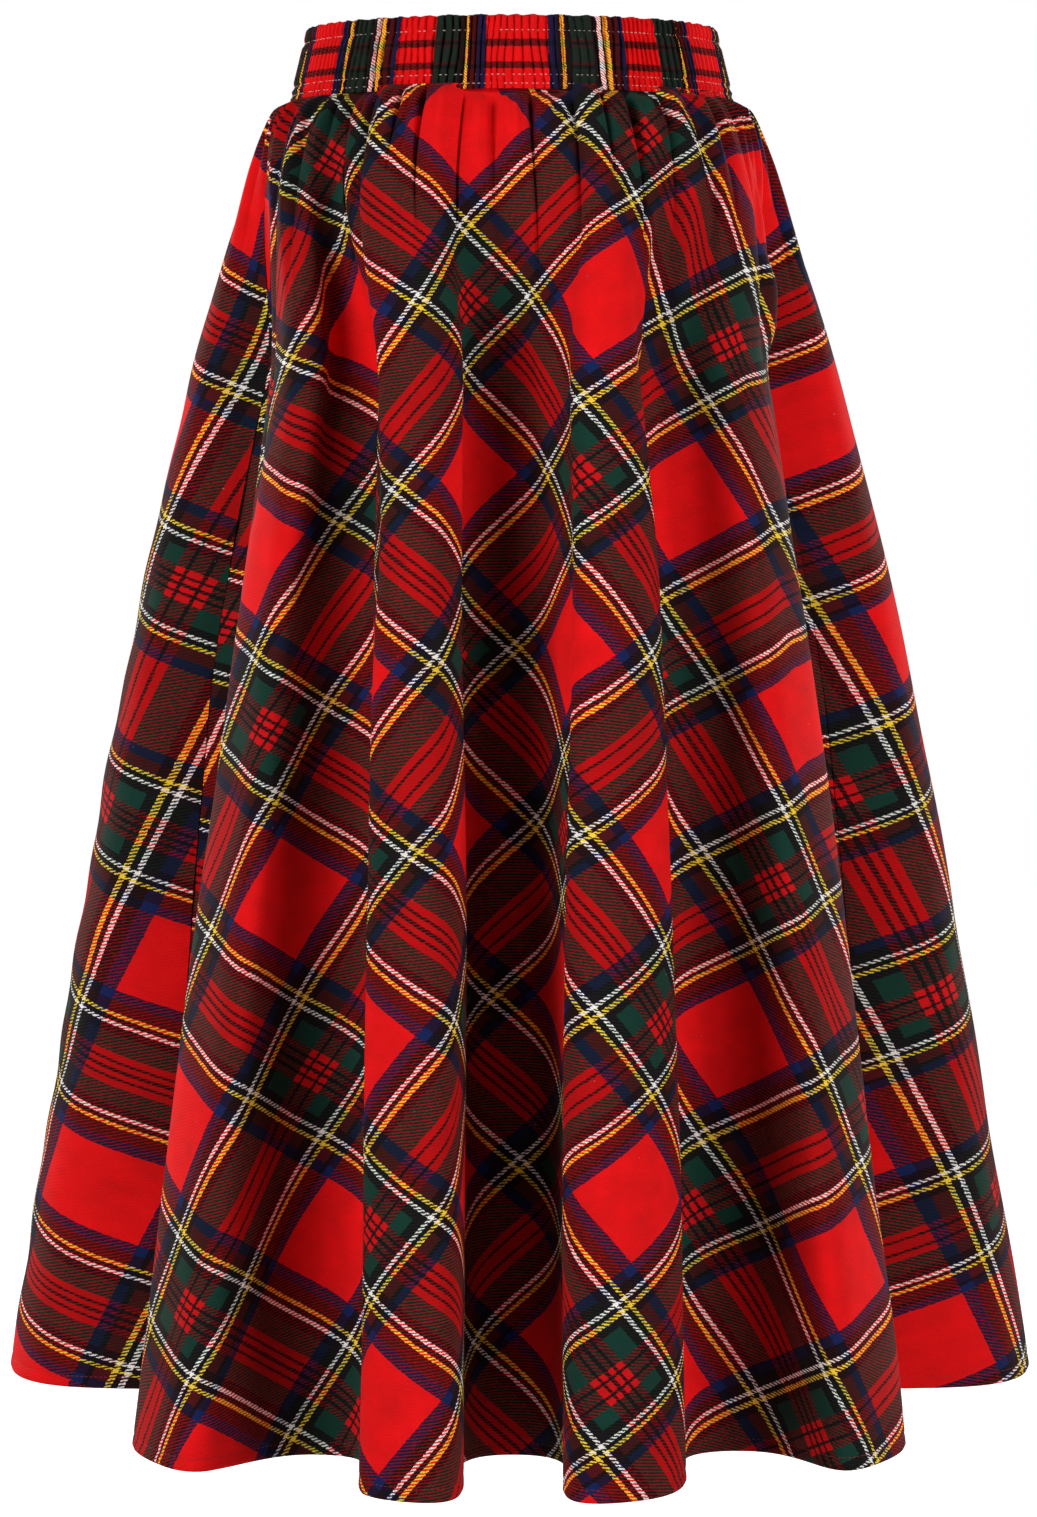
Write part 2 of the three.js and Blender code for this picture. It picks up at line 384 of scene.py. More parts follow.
# %% Edges where a fold turns in
EDGE_COLUMNS = "flat_from level_from flat_to level_to softness rise".split()
EDGE_REACH = 38 * MM
EDGE_BEGIN = (-60 * MM, 20 * MM)
EDGE_FADE = 0.7
FRONT_EDGES = [
    (-4.5, 0, -3.4, 850, 8, -6.5),
    (7.2, 0, 5.3, 850, 8, 6.5),
    (9.8, 0, 14.0, 330, 7, -4.2),
    (13.8, 300, 12.4, 862, 11, -4.0),
    (-14.6, 0, -11.0, 300, 7, 4.2),
    (-10.8, 260, -11.6, 862, 11, 4.0),
    (-21.4, 40, -21.0, 420, 6, -3.4),
    (16.6, 0, 17.4, 170, 4, 2.6),
    (26.8, 60, 27.0, 600, 11, -3.0),
    (-26.0, 60, -27.0, 600, 11, 3.0),
]
BACK_EDGES = [
    (61.5, 0, 60, 300, 5, 3.6),
    (72.5, 0, 71, 800, 6, -5.5),
    (81, 0, 79.5, 420, 5, 4.4),
    (90, 0, 88, 820, 6, -5.8),
    (95, 0, 96.5, 700, 6, 5.2),
    (104.5, 0, 103, 560, 6, -4.6),
    (111, 20, 112, 640, 6, 4.0),
]


def fold_edges(angles, distances, table):
    total = np.zeros((len(distances), len(angles)))
    for row in table:
        edge = dict(zip(EDGE_COLUMNS, row))
        across, below_start, below_end = beside_line(edge, angles, distances)
        length = (edge["level_to"] - edge["level_from"]) * MM
        fade = smooth(*EDGE_BEGIN, below_start) * (1 - EDGE_FADE * smooth(-length / 2, 0, below_end))
        step = np.tanh(across / (edge["softness"] * MM)) * np.exp(-np.abs(across) / EDGE_REACH)
        total += edge["rise"] * MM * fade * step
    return total


print("edges:", len(FRONT_EDGES), "on the front and", len(BACK_EDGES), "on the back")

# %% [markdown]
# Hanging cloth is never quite smooth. A noise texture could move it, but three crossing sine waves are
# plain to read, give the same result each time and stay as slow as real cloth is.

# %% Slow unevenness
UNEVEN_FROM = (40 * MM, 260 * MM)


def unevenness(angles, distances, phase):
    """Slow waves of a millimetre or so, which have no regular beat.

    Their beats are in radians a metre and their heights in millimetres.
    """
    grid_angle, grid_level = np.meshgrid(np.radians(angles), distances)
    across = grid_angle * (WAIST_RADIUS + grid_level)
    slow = np.sin(across * 39 + 2.1 * np.sin(grid_level * 7 + phase) + phase)
    long = np.sin(across * 21 - grid_level * 5 + 1.7 * phase)
    patch = np.sin(grid_level * 17 + 1.3 * np.sin(across * 11 + phase))
    return (0.55 * slow + 0.7 * long + 0.35 * patch) * MM * smooth(*UNEVEN_FROM, grid_level)


across_hem = unevenness(np.linspace(-FRONT_HALF_ANGLE, FRONT_HALF_ANGLE, 50), np.array([LENGTH]), 0.6)
print("unevenness at the front hem: up to", round(float(np.abs(across_hem).max()) / MM, 2), "mm")


# %% [markdown]
# A side seam pulls the cloth in along a narrow line, and so does the row of stitches that holds the
# turned hem. The pocket on the right lies in the side seam: the front lip bows out and the back lip
# drops in, so that the mouth stands a little open. The turned hem is two layers thick, and its fold
# rounds off the lower edge.

# %% Seams, the pocket's mouth and the hem
SEAM_DENT = 1.1 * MM
SEAM_REACH = 5 * MM
POCKET_TOP = 88 * MM
POCKET_FOOT = 238 * MM
LIP_OUT = 7.5 * MM
LIP_IN = 4.0 * MM
LIP_REACH = 26 * MM
LIP_FULLNESS = 1.4
STITCH_UP = 8 * MM
STITCH_DENT = 0.5 * MM
STITCH_REACH = 1.5 * MM


def beside_seam(angles, distances, seam):
    """Metres of cloth between each point of the grid and a seam that keeps one angle of the cut."""
    grid_angle, grid_level = np.meshgrid(angles, distances)
    return np.abs(np.radians(grid_angle - seam)) * (WAIST_RADIUS + grid_level)


def seam_dents(angles, distances, seams):
    return -SEAM_DENT * sum(hill(beside_seam(angles, distances, seam), SEAM_REACH) for seam in seams)


def pocket_mouth(angles, distances, lift):
    middle = (POCKET_TOP + POCKET_FOOT) / 2
    share = np.clip(1 - np.abs(distances - middle) / (middle - POCKET_TOP), 0, 1)
    opened = np.sin(np.pi / 2 * share) ** LIP_FULLNESS
    return lift * opened[:, None] * hill(beside_seam(angles, distances, FRONT_HALF_ANGLE), LIP_REACH)


def hem_stitch_dent(distances):
    return -STITCH_DENT * hill(distances - (LENGTH - STITCH_UP), STITCH_REACH)


print("the pocket's mouth is", round((POCKET_FOOT - POCKET_TOP) / MM), "mm long")


# %% [markdown]
# A panel is a grid of points. Its outer face is the form moved by the fine shape, and its inner face
# lies one cloth's thickness behind it, or two where the hem is turned up. Each corner of the mesh also
# keeps its place on the flat cloth, in metres along the two thread directions.

# %% Mesh helper for a wall of cloth
SHARP_ANGLE = 50


def wall_mesh(name, outer, inner, flat, closed_round):
    """One closed mesh between two grids of points. flat holds each point's place on the flat cloth."""
    rows, columns = outer.shape[:2]
    points = np.concatenate([outer.reshape(-1, 3), inner.reshape(-1, 3)])
    spans = columns if closed_round else columns - 1
    r, c = np.meshgrid(np.arange(rows - 1), np.arange(spans), indexing="ij")
    r = r.ravel()
    c = c.ravel()
    edge_c = np.arange(spans)
    top = np.zeros(spans, int)
    foot = top + rows - 1
    faces = []

    def add(*corners):
        """Adds quads. A corner is its side, 0 outside or 1 inside, then its row and its column."""
        stacked = [np.stack(np.broadcast_arrays(*corner), axis=-1) for corner in corners]
        faces.append(np.stack(stacked, axis=1))

    add((0, r, c), (0, r + 1, c), (0, r + 1, c + 1), (0, r, c + 1))
    add((1, r, c), (1, r, c + 1), (1, r + 1, c + 1), (1, r + 1, c))
    add((0, top, edge_c), (0, top, edge_c + 1), (1, top, edge_c + 1), (1, top, edge_c))
    add((0, foot, edge_c), (1, foot, edge_c), (1, foot, edge_c + 1), (0, foot, edge_c + 1))
    if not closed_round:
        edge_r = np.arange(rows - 1)
        start = np.zeros(rows - 1, int)
        end = start + columns - 1
        add((0, edge_r, start), (1, edge_r, start), (1, edge_r + 1, start), (0, edge_r + 1, start))
        add((0, edge_r, end), (0, edge_r + 1, end), (1, edge_r + 1, end), (1, edge_r, end))
    corners = np.concatenate(faces).reshape(-1, 3)
    vertex = corners[:, 0] * rows * columns + corners[:, 1] * columns + corners[:, 2] % columns
    mesh = bpy.data.meshes.new(name)
    mesh.vertices.add(len(points))
    mesh.vertices.foreach_set("co", points.ravel())
    mesh.loops.add(len(vertex))
    mesh.loops.foreach_set("vertex_index", vertex.astype(np.int32))
    mesh.polygons.add(len(vertex) // 4)
    mesh.polygons.foreach_set("loop_start", np.arange(0, len(vertex), 4, dtype=np.int32))
    layer = mesh.uv_layers.new(name="cloth")
    layer.data.foreach_set("uv", flat[corners[:, 1], corners[:, 2]].ravel())
    mesh.update(calc_edges=True)
    mesh.validate()
    mesh.shade_smooth()
    mesh.set_sharp_from_angle(angle=math.radians(SHARP_ANGLE))
    made = bpy.data.objects.new(name, mesh)
    bpy.context.scene.collection.objects.link(made)
    print(name, "has", len(mesh.polygons) * 2, "triangles")
    return made


def grid_normals(points):
    """Outward normals of a grid whose rows go down and whose columns go from the front to the right."""
    across = np.gradient(points, axis=1)
    down = np.gradient(points, axis=0)
    return unit(np.cross(down, across))


# %% [markdown]
# A mesh needs its rows where the shape changes. They lie close together in the gathers and in the
# turned hem, and further apart where the cloth hangs freely, which saves a great many faces.

# %% The panels' levels
PANEL_TOP = -3 * MM
GATHERED_END = 110 * MM
HEM_START = LENGTH - HEM_TURN - 3 * MM
GATHERED_LEVELS = 34
HANGING_LEVELS = 96
HEM_LEVELS = 7
# The gathered levels crowd towards the band, where the cloth bends most.
CROWDING = 1.35
gathered_shares = np.linspace(0, 1, GATHERED_LEVELS, endpoint=False) ** CROWDING
LEVELS = np.concatenate([
    PANEL_TOP + (GATHERED_END - PANEL_TOP) * gathered_shares,
    np.linspace(GATHERED_END, HEM_START, HANGING_LEVELS, endpoint=False),
    np.linspace(HEM_START, LENGTH, HEM_LEVELS),
])
print("a panel has", len(LEVELS), "levels")

# %% [markdown]
# Woven cloth keeps its threads, but a skirt on the bias doesn't keep them straight: its own weight
# shears it. So the places on the flat cloth get two kinds of changes. One says how many degrees the
# threads have slipped round at the sides, the other how far they have crept at a few places.

# %% How the threads have slipped and crept
SLIP_ANGLES = [-54, -46, -38, -24, 0, 24, 38, 46, 54, 90, 126, 134, 142]
SLIP = [10.5, 10.5, 6.8, 1.7, 0, -1.7, -6.8, -10.5, -10.5, 0, 10.5, 10.5, 6.8]
DRIFT_LEVELS = [60 * MM, 460 * MM, 860 * MM]
DRIFT_ANGLES = [-50, -38, -24, -10, 10, 24, 38, 50, 75, 105, 130, 142]
DRIFT_RIGHT = [
    (-18, -18, -15, -11, 7, 16, 10, 8, 0, 0, 8, -12),
    (-16, -13, -1, 7, 20, 12, 6, 4, 0, 0, 18, -14),
    (-16, -9, 14, 20, 11, 4, 0, 1, 0, 0, 26, -16),
]
DRIFT_LEFT = [
    (-3, -4, -9, -11, 3, 11, 0, 20, 0, 0, -3, -4),
    (0, 1, 0, -6, 8, 5, -10, 20, 0, 0, 0, 1),
    (2, 3, 7, 11, 7, -15, -22, 20, 0, 0, 2, 3),
]


def thread_drift(table, angles, distances):
    """How far the threads have crept from their cut, in metres, read from a few places on the folds."""
    columns = np.array([np.interp(angles, DRIFT_ANGLES, row) for row in table]).T
    crept = np.array([np.interp(distances, DRIFT_LEVELS, column) for column in columns])
    return crept.T * MM


def thread_places(angles, distances):
    """Metres along the two thread directions of the flat cut, whose centre front is on the true bias.

    Bias cloth gives under its own weight, so at the sides the threads have slipped a few degrees, and
    everywhere they have crept, by less than three centimetres.
    """
    slipped = angles + np.interp(angles, SLIP_ANGLES, SLIP)
    grid_angle, grid_level = np.meshgrid(np.radians(slipped), distances)
    radius = WAIST_RADIUS + grid_level
    across = radius * np.sin(grid_angle)
    along = -radius * np.cos(grid_angle)
    right = (across + along) / math.sqrt(2) + thread_drift(DRIFT_RIGHT, angles, distances)
    left = (across - along) / math.sqrt(2) + thread_drift(DRIFT_LEFT, angles, distances)
    return np.stack([right, left], axis=-1)


print("the threads slip round by up to", max(SLIP), "degrees")

# %% [markdown]
# Each panel is cut in one piece, so it is one mesh here too: the form, moved by the sum of its fine
# shapes. Its top edge tucks in behind the band, and its lower edge is rounded where the hem folds
# over. The side seams stay open by a hair, so that the two meshes never share a place.

# %% The front and back panels
PANEL_COLUMNS = 356
SIDE_SEAM_GAP = 0.6 * MM
TOP_TUCK = 1.2 * MM
TOP_TUCK_END = 7 * MM
TURN_STEP = 1.5 * MM
HEM_ROUND = 1.6 * MM
# At the very edge of the hem, how far the outer face rounds in and how much thinner it gets, in cloths.
HEM_ROUND_IN = 0.9
HEM_ROUND_THIN = 1.5


def panel(name, start_angle, end_angle, fine_shape):
    edge = math.degrees(SIDE_SEAM_GAP / 2 / (WAIST_RADIUS + LENGTH / 2))
    angles = np.linspace(start_angle + edge, end_angle - edge, PANEL_COLUMNS + 1)
    form = np.stack([form_row(angles, distance) for distance in LEVELS])
    tuck = TOP_TUCK * (1 - smooth(PANEL_TOP, TOP_TUCK_END, LEVELS))
    stand = fine_shape(angles, LEVELS) + (hem_stitch_dent(LEVELS) - tuck)[:, None]
    outer = form + grid_normals(form) * stand[:, :, None]
    turn_level = LENGTH - HEM_TURN
    turned = smooth(turn_level - TURN_STEP, turn_level + TURN_STEP, LEVELS)
    fold_over = smooth(LENGTH - HEM_ROUND, LENGTH, LEVELS)
    normals = grid_normals(outer)
    outer = outer - normals * (HEM_ROUND_IN * CLOTH * fold_over)[:, None, None]
    thick = CLOTH * (1 + turned - HEM_ROUND_THIN * fold_over)
    inner = outer - normals * thick[:, None, None]
    flat = thread_places(angles, LEVELS)
    return wall_mesh(name, outer, inner, flat, False)


def front_shape(angles, distances):
    return (
        gathers(angles, distances, 0)
        + creases(angles, distances, FRONT_CREASES)
        + fold_edges(angles, distances, FRONT_EDGES)
        + unevenness(angles, distances, 0.6)
        + seam_dents(angles, distances, (-FRONT_HALF_ANGLE, FRONT_HALF_ANGLE))
        + pocket_mouth(angles, distances, LIP_OUT)
    )


def back_shape(angles, distances):
    return (
        gathers(angles, distances, 11)
        + creases(angles, distances, BACK_CREASES)
        + fold_edges(angles, distances, BACK_EDGES)
        + unevenness(angles, distances, 2.3)
        + seam_dents(angles, distances, (FRONT_HALF_ANGLE, WHOLE_ANGLE - FRONT_HALF_ANGLE))
        + pocket_mouth(angles, distances, -LIP_IN)
    )


front = panel("front_cloth", -FRONT_HALF_ANGLE, FRONT_HALF_ANGLE, front_shape)
back = panel("back_cloth", FRONT_HALF_ANGLE, WHOLE_ANGLE - FRONT_HALF_ANGLE, back_shape)

# %% [markdown]
# The waistband is a strip on the straight grain, stitched to stretched elastic in three rows. When the
# elastic pulls back, the cloth stands up in fine upright ribs between the rows. No two ribs are alike,
# so the beat of the ribs wanders with two slow waves, and they lean a little.

# %% The waistband's form
RIB_PITCH = 4.3 * MM
RIB_HEIGHT = 2.1 * MM
RIB_FULLNESS = 1.8
STITCH_ROWS = (9.5 * MM, 37 * MM, 42.5 * MM)
PINCH_REACH = 1.6 * MM
PINCH_FLATTENS = 0.35
PUFF = 0.9 * MM
SET_IN = 0.3 * MM


def band_half_sizes(share):
    return np.array([lerp(BAND_TOP[i], BAND_FOOT[i], share) / 2 for i in (0, 1)])


def band_stand(turn, depth):
    """How far the band's face stands out from its oval, at radians round it and depths below its top.

    The ribs' beat, lean and strength wander in waves of their own, so that no two ribs are alike.
    """
    around = turn * (BAND_FOOT[0] + BAND_FOOT[1]) / 4
    beat = around / RIB_PITCH + 0.55 * np.sin(7 * turn + 1) + 0.35 * np.sin(17 * turn + 2.4)
    lean = 0.22 * np.sin(9 * turn + 60 * depth) + 0.12 * np.sin(23 * turn - 110 * depth)
    wave = 1 - 2 * (1 - np.abs(np.sin(math.pi * (beat + lean)))) ** RIB_FULLNESS
    strength = 0.75 + 0.25 * np.sin(11 * turn + 1.3) * np.sin(5 * turn)
    pinch = np.clip(sum(hill(depth - row, PINCH_REACH) for row in STITCH_ROWS), 0, 1)
    return RIB_HEIGHT * strength * wave * (1 - PINCH_FLATTENS * pinch) - PUFF * pinch - SET_IN


print("the band has about", round(math.pi / 2 * (BAND_FOOT[0] + BAND_FOOT[1]) / RIB_PITCH), "ribs")

# %% [markdown]
# The band's mesh is a closed ring of the same kind as the panels: a ribbed face outside and a calmer
# lining inside. Its top edge is rounded and a little frilled, and its foot rolls in over the gathers.

# %% The waistband's mesh
BAND_AROUND = 1100
BAND_LEVELS = 30
BAND_WALL = 2.6 * MM
BAND_CLOTH_ROUND = 752 * MM
BELOW_FOOT = 0.8 * MM
TOP_EDGE = 1.6 * MM
TOP_EDGE_IN = 1.2 * MM
FOOT_EDGE = (0.985, 1.02)
FOOT_EDGE_IN = 0.8 * MM
LINING_SHARE = 0.4
FRILL = 0.4 * MM
FRILL_END = 6 * MM


def waistband():
    turn = np.linspace(-math.pi, math.pi, BAND_AROUND, endpoint=False)
    face_levels = np.linspace(TOP_EDGE, BAND_HEIGHT + BELOW_FOOT, BAND_LEVELS)
    depth = np.concatenate([[0.0, 0.5 * MM], face_levels])
    outer = []
    inner = []
    for level in depth:
        half = band_half_sizes(level / BAND_HEIGHT)
        oval = facing(turn) * half
        out = unit(facing(turn) / half)
        top_round = TOP_EDGE_IN * (1 - smooth(0, TOP_EDGE, level))
        rounded = top_round + FOOT_EDGE_IN * smooth(*FOOT_EDGE, level / BAND_HEIGHT)
        frill = FRILL * np.sin(turn * 61 + 2 * np.sin(turn * 13)) * (1 - smooth(0, FRILL_END, level))
        stand = band_stand(turn, level)
        face = oval + out * (stand - rounded)[:, None]
        lining = oval - out * (BAND_WALL - rounded - LINING_SHARE * stand)[:, None]
        z = (frill - level)[:, None]
        outer.append(np.concatenate([face, z], axis=1))
        inner.append(np.concatenate([lining, z], axis=1))
    around = np.linspace(-0.5, 0.5, BAND_AROUND + 1) * BAND_CLOTH_ROUND
    flat = np.stack(np.meshgrid(around, depth), axis=-1)
    return wall_mesh("waistband_cloth", np.array(outer), np.array(inner), flat, True)


band = waistband()

# %% [markdown]
# The pocket is a flat bag of thinner cloth. It hangs inside the front panel from the side seam, and
# only a dark slit of it shows at the mouth. It is laid on the panel's own form, further in.

# %% The pocket's bag
BAG_TOP = 64 * MM
BAG_FOOT = 298 * MM
BAG_ANGLE = 11.2
BAG_SEAM_ANGLE = 0.15
BAG_SQUARENESS = 4.5
BAG_LEAST = 0.04
BAG_INSIDE = 2.1 * MM
BAG_THICK = 1.5 * MM
BAG_PUFF = 0.5 * MM
BAG_LEVELS = 40
BAG_COLUMNS = 26


def pocket_bag():
    levels = np.linspace(BAG_TOP, BAG_FOOT, BAG_LEVELS)
    downs = (levels - BAG_TOP) / (BAG_FOOT - BAG_TOP)
    reach = BAG_ANGLE * np.sqrt(np.clip(1 - np.abs(2 * downs - 1) ** BAG_SQUARENESS, BAG_LEAST, 1))
    across = np.linspace(0, 1, BAG_COLUMNS)
    outer = []
    inner = []
    flat = []
    for level, down, angle in zip(levels, downs, reach):
        angles = FRONT_HALF_ANGLE - BAG_SEAM_ANGLE - angle * (1 - across)
        row = form_row(angles, level)
        along = unit(np.gradient(row[:, :2], axis=0))
        out = np.stack([along[:, 1], -along[:, 0], np.zeros(len(row))], axis=-1)
        puff = BAG_PUFF * np.sin(np.pi * across) * math.sin(math.pi * down)
        outer.append(row - out * BAG_INSIDE)
        inner.append(row - out * (BAG_INSIDE + BAG_THICK + puff)[:, None])
        flat.append(np.stack([np.radians(angles) * WAIST_RADIUS, np.full(len(row), level)], axis=-1))
    return wall_mesh("pocket_cloth", np.array(outer), np.array(inner), np.array(flat), False)


bag = pocket_bag()

# %% [markdown]
# Stitches are short rounded pegs of thread, half sunk in the cloth. One small mesh is repeated along
# each row and joined into one piece, which is quick and stays light.

# %% Stitches as pegs of thread
PEG_SIDES = 5
# Place along the peg, radius and lift of each ring of points, as shares of its length and radius.
PEG_RINGS = ((-0.5, 0.45, -0.6), (-0.25, 1.0, 0.1), (0.25, 1.0, 0.1), (0.5, 0.45, -0.6))


def stitch_mesh(name, rows_of_stitches, radius):
    """Joins pegs into one mesh. Each row gives the pegs' places, their length and the ways they face."""
    points = []
    faces = []
    last_ring = (len(PEG_RINGS) - 1) * PEG_SIDES
    for places, length, outward in rows_of_stitches:
        following = np.roll(places, -1, axis=0)
        along = unit(following - places)
        side = unit(np.cross(along, outward))
        for place, forward, up, across in zip(places, along, outward, side):
            base = len(points)
            for step, swell, lift in PEG_RINGS:
                centre = place + forward * step * length + up * lift * radius
                for k in range(PEG_SIDES):
                    turn = 2 * math.pi * k / PEG_SIDES
                    points.append(centre + (across * math.cos(turn) + up * math.sin(turn)) * radius * swell)
            for ring in range(base, base + last_ring, PEG_SIDES):
                for k in range(PEG_SIDES):
                    a = ring + k
                    b = ring + (k + 1) % PEG_SIDES
                    faces.append((a, b, b + PEG_SIDES, a + PEG_SIDES))
            faces.append(tuple(base + k for k in reversed(range(PEG_SIDES))))
            faces.append(tuple(base + last_ring + k for k in range(PEG_SIDES)))
    mesh = bpy.data.meshes.new(name)
    mesh.from_pydata(points, [], faces)
    mesh.shade_smooth()
    made = bpy.data.objects.new(name, mesh)
    bpy.context.scene.collection.objects.link(made)
    print(name, "has", len(faces), "faces")
    return made


# %% The band's three rows of stitches
BAND_STITCH_PITCH = 2.9 * MM
BAND_STITCH_LENGTH = 1.9 * MM
BAND_THREAD_RADIUS = 0.24 * MM
BAND_THREAD_LIFT = 0.05 * MM
ROW_SHIFT = 0.4


def band_stitch_row(depth, shift):
    half = band_half_sizes(depth / BAND_HEIGHT)
    count = int(math.pi * (half[0] + half[1]) / BAND_STITCH_PITCH)
    turn = 2 * math.pi * (np.arange(count) + shift) / count
    out = unit(facing(turn) / half)
    face = facing(turn) * half + out * (band_stand(turn, depth) + BAND_THREAD_LIFT)[:, None]
    places = np.concatenate([face, np.full((count, 1), -depth)], axis=1)
    return places, BAND_STITCH_LENGTH, np.concatenate([out, np.zeros((count, 1))], axis=1)


band_rows = [band_stitch_row(depth, ROW_SHIFT * number) for number, depth in enumerate(STITCH_ROWS)]
band_thread = stitch_mesh("band_stitching", band_rows, BAND_THREAD_RADIUS)


# %% [markdown]
# The hem's stitches follow the finished panel. They are placed by the panel's own form and fine shape,
# at the level of the stitch row, so they sink and rise with every fold.

# %% Hem stitches
STITCH_LENGTH = 2.6 * MM
STITCH_PITCH = 3.3 * MM
HEM_THREAD_RADIUS = 0.17 * MM
HEM_ROW_MARGIN = 0.2
HEM_ROW_STEP = 2 * MM


def hem_row(start_angle, end_angle, fine_shape):
    level = LENGTH - STITCH_UP
    count = int(math.radians(end_angle - start_angle) * (WAIST_RADIUS + level) / STITCH_PITCH)
    angles = np.linspace(start_angle + HEM_ROW_MARGIN, end_angle - HEM_ROW_MARGIN, count)
    levels = level + np.array([-1, 0, 1]) * HEM_ROW_STEP
    form = np.stack([form_row(angles, distance) for distance in levels])
    stand = fine_shape(angles, levels) + hem_stitch_dent(levels)[:, None]
    face = form + grid_normals(form) * stand[:, :, None]
    return face[1][:-1], STITCH_LENGTH, grid_normals(face)[1][:-1]


hem_rows = [
    hem_row(-FRONT_HALF_ANGLE, FRONT_HALF_ANGLE, front_shape),
    hem_row(FRONT_HALF_ANGLE, WHOLE_ANGLE - FRONT_HALF_ANGLE, back_shape),
]
hem_thread = stitch_mesh("hem_stitching", hem_rows, HEM_THREAD_RADIUS)


# %% [markdown]
# At a crossing of two different colours the eye sees fine slanting dashes of both. So each thread
# direction gets its own list of stripes, charted from the cloth in millimetres, and one group weaves
# the two lists together.

# %% Thread colours
def linear(red, green, blue):
    """A screen colour of three values up to 255, as the linear values that shaders use."""
    def channel(value):
        value = value / 255
        return value / 12.92 if value <= 0.04045 else ((value + 0.055) / 1.055) ** 2.4

    return (channel(red), channel(green), channel(blue), 1.0)


RED = linear(222, 10, 14)
CRIMSON = linear(196, 10, 16)
MAROON = linear(74, 10, 16)
BLACK = linear(16, 14, 18)
GREEN = linear(10, 52, 42)
BLUE = linear(14, 30, 78)
WHITE = linear(238, 234, 228)
YELLOW = linear(240, 202, 58)
print("the red thread in linear light:", [round(value, 3) for value in RED])

# %% The order of stripes, in millimetres
# Across the stripes that fall to the right: where each stripe ends, from the middle of the narrow red
# to the middle of the broad red. The order then runs back the other way.
MIRRORED_ORDER = [
    (1.2, BLACK), (4.2, CRIMSON), (6.2, BLACK), (10.5, CRIMSON), (22.6, GREEN), (27.9, BLACK),
    (30.5, WHITE), (34.0, BLACK), (36.5, YELLOW), (44.5, MAROON), (51.5, BLUE), (80.0, RED),
]
# Across the stripes that fall to the left: widths one after the other, once through.
ONE_WAY_ORDER = [
    (53.5, RED), (6.5, BLUE), (6, BLACK), (2.6, WHITE), (3, BLACK), (2.5, YELLOW), (4.9, BLACK),
    (16, GREEN), (4, CRIMSON), (2, BLACK), (6, CRIMSON), (2, BLACK), (4, CRIMSON), (8.5, GREEN),
    (5.7, BLACK),
    (2.5, WHITE), (2.5, BLACK), (2.4, YELLOW), (5.9, MAROON), (2.5, BLACK), (5, BLUE),
]
# Round the waistband, where the cloth is pulled together.
BAND_ORDER = [
    (5, BLUE), (2, BLACK), (2, YELLOW), (3, BLACK), (13.5, GREEN), (3, BLACK), (2.6, WHITE), (1.5, BLACK),
    (2.6, YELLOW), (6.4, MAROON), (3.5, BLUE), (22.5, RED), (14, GREEN), (3.5, BLACK), (2, YELLOW),
    (5, MAROON), (4.5, BLUE), (34.6, RED),
]
# Down the waistband.
BAND_DOWN_ORDER = [
    (15, RED), (1.4, MAROON), (2, BLACK), (1, MAROON), (9.6, RED), (1.6, MAROON), (2.6, BLACK), (56.8, RED),
]
print("stripes:", len(MIRRORED_ORDER), len(ONE_WAY_ORDER), len(BAND_ORDER), len(BAND_DOWN_ORDER))


# %% [markdown]
# The looks are made of shader nodes. A node group works like a function: it is built once, with named
# inputs and outputs, and each material places it with its own values. A few helpers make the nodes and
# link them, so that the groups below read like formulas.

# %% Node helpers
def new_group(name, inputs, outputs):
    group = bpy.data.node_groups.new(name, "ShaderNodeTree")
    for kind, title, default in inputs:
        made = group.interface.new_socket(name=title, in_out="INPUT", socket_type=kind)
        if default is not None:
            made.default_value = default
    for kind, title in outputs:
        group.interface.new_socket(name=title, in_out="OUTPUT", socket_type=kind)
    start = group.nodes.new("NodeGroupInput")
    end = group.nodes.new("NodeGroupOutput")
    return group, start, end


def math_node(tree, operation, first, second=None, third=None):
    made = tree.nodes.new("ShaderNodeMath")
    made.operation = operation
    for place, value in enumerate((first, second, third)):
        if value is None:
            continue
        if isinstance(value, (int, float)):
            made.inputs[place].default_value = value
        else:
            tree.links.new(value, made.inputs[place])
    return made.outputs[0]


def color_mix(tree, blend, factor, first, second):
    made = tree.nodes.new("ShaderNodeMix")
    made.data_type = "RGBA"
    made.blend_type = blend
    for place, value in ((0, factor), (6, first), (7, second)):
        if isinstance(value, (int, float, tuple)):
            made.inputs[place].default_value = value
        else:
            tree.links.new(value, made.inputs[place])
    return made.outputs[2]


def noise(tree, vector, scale, detail=2.0, rough=0.5):
    made = tree.nodes.new("ShaderNodeTexNoise")
    made.inputs["Scale"].default_value = scale
    made.inputs["Detail"].default_value = detail
    made.inputs["Roughness"].default_value = rough
    tree.links.new(vector, made.inputs["Vector"])
    return made.outputs["Fac"]


def brightness(tree, color):
    made = tree.nodes.new("ShaderNodeRGBToBW")
    tree.links.new(color, made.inputs["Color"])
    return made.outputs["Val"]

# %% [markdown]
# A stripe list becomes a colour ramp with hard steps. The place across the stripes is divided by the
# length of the repeat, and its fraction is looked up on the ramp. In a mirrored order the fraction runs
# there and back. Both ways need only the flat cloth's metres, so no picture is involved.

